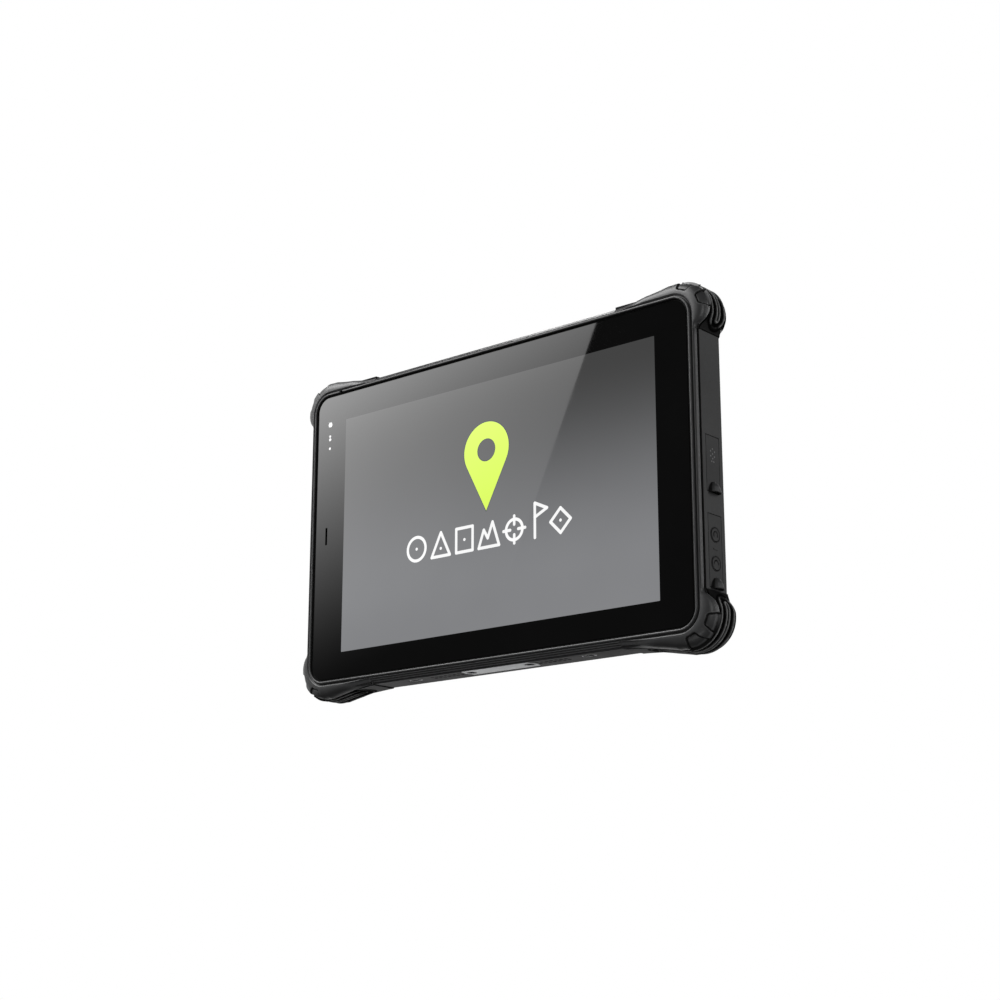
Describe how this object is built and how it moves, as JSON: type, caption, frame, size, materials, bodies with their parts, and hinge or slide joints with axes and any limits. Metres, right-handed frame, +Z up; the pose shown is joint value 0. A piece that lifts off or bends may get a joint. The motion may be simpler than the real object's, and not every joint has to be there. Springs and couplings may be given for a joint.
{
  "type": "data collector",
  "caption": "Rugged field tablet for survey data: bezel, glass, display, rear housing, corner bumpers, hinged port covers, sprung keys, dock plate and inner electronics.",
  "frame": {"origin": "centre of the underside: the middle of the bounding box at the lowest point of the bumpers, with the tablet standing on its long edge", "axes": "+X to the right along the screen's width, +Y from the screen to the back so the screen faces -Y, +Z up along the screen's height"},
  "size_m": [0.222, 0.0204, 0.148],
  "materials": {
    "frame": "fine-textured moulded plastic, dark grey",
    "housing": "fine-textured moulded plastic, dark grey",
    "rubber": "black moulded rubber, satin",
    "cover": "dark grey moulded rubber",
    "glass": "polished cover glass with a black printed border",
    "lens": "polished dark window",
    "screen": "lit display panel",
    "seal": "black seal rubber",
    "alloy": "satin aluminium",
    "steel": "dark satin steel",
    "brass": "turned brass",
    "board": "green circuit board",
    "plastic": "black moulded plastic",
    "battery": "wrapped battery cells",
    "ceramic": "pale ceramic or diffuser"
  },
  "bodies": {
    "tablet": {"bezel_frame": "frame", "cover_glass": "glass", "display_panel": "screen", "display_gasket": "seal", "housing_seal": "seal", "rear_housing": "housing", "mid_chassis": "alloy", "main_board": "board", "processor_shield": "steel", "radio_shield": "steel", "gnss_antenna": "ceramic", "vibration_motor": "steel", "battery_pack": "battery", "battery_seal": "seal", "battery_cover": "housing", "docking_plate": "alloy", "docking_connector": "plastic", "usb_cover_tether": "rubber", "io_cover_tether": "rubber", "usb_port": "steel", "dc_jack": "plastic", "audio_jack": "plastic", "button_board": "board", "front_camera": "lens", "light_sensor": "plastic", "earpiece": "plastic", "rear_camera": "plastic", "camera_bezel": "alloy", "rear_camera_window": "lens", "flash_lens": "ceramic", "bumper_top_left": "rubber", "bumper_top_right": "rubber", "bumper_bottom_left": "rubber", "bumper_bottom_right": "rubber", "battery_cover_screw_1": "steel", "housing_screw_1": "steel", "strap_insert_1": "brass", "battery_cover_screw_2": "steel", "housing_screw_2": "steel", "strap_insert_2": "brass", "battery_cover_screw_3": "steel", "housing_screw_3": "steel", "strap_insert_3": "brass", "battery_cover_screw_4": "steel", "housing_screw_4": "steel", "strap_insert_4": "brass", "docking_screw_left": "steel", "dock_latch_insert_left": "steel", "speaker_left": "plastic", "docking_screw_right": "steel", "dock_latch_insert_right": "steel", "speaker_right": "plastic"},
    "usb_cover_leaf": {"usb_cover": "cover"},
    "io_cover_leaf": {"io_cover": "cover"},
    "power_key": {"power_button": "cover"},
    "volume_up_key": {"volume_up_button": "cover"},
    "volume_down_key": {"volume_down_button": "cover"},
    "function_key": {"function_button": "cover"}
  },
  "joints": [
    {"name": "usb_cover_hinge", "type": "hinge", "parent": "tablet", "child": "usb_cover_leaf", "pos_m": [0.1074, -0.00065, 0.0837], "axis": [0, -1, 0], "range_deg": [0, 120], "stiffness_Nm_per_rad": 0.0004},
    {"name": "io_cover_hinge", "type": "hinge", "parent": "tablet", "child": "io_cover_leaf", "pos_m": [0.1074, -0.00065, 0.0521], "axis": [0, -1, 0], "range_deg": [0, 120], "stiffness_Nm_per_rad": 0.0004},
    {"name": "power_button_press", "type": "slide", "parent": "tablet", "child": "power_key", "axis": [0, 0, -1], "range_m": [0, 0.0004], "stiffness_N_per_m": 1500, "springref_m": -0.0004},
    {"name": "volume_up_button_press", "type": "slide", "parent": "tablet", "child": "volume_up_key", "axis": [0, 0, -1], "range_m": [0, 0.0004], "stiffness_N_per_m": 1500, "springref_m": -0.0004},
    {"name": "volume_down_button_press", "type": "slide", "parent": "tablet", "child": "volume_down_key", "axis": [0, 0, -1], "range_m": [0, 0.0004], "stiffness_N_per_m": 1500, "springref_m": -0.0004},
    {"name": "function_button_press", "type": "slide", "parent": "tablet", "child": "function_key", "axis": [0, 0, -1], "range_m": [0, 0.0004], "stiffness_N_per_m": 1500, "springref_m": -0.0004}
  ]
}
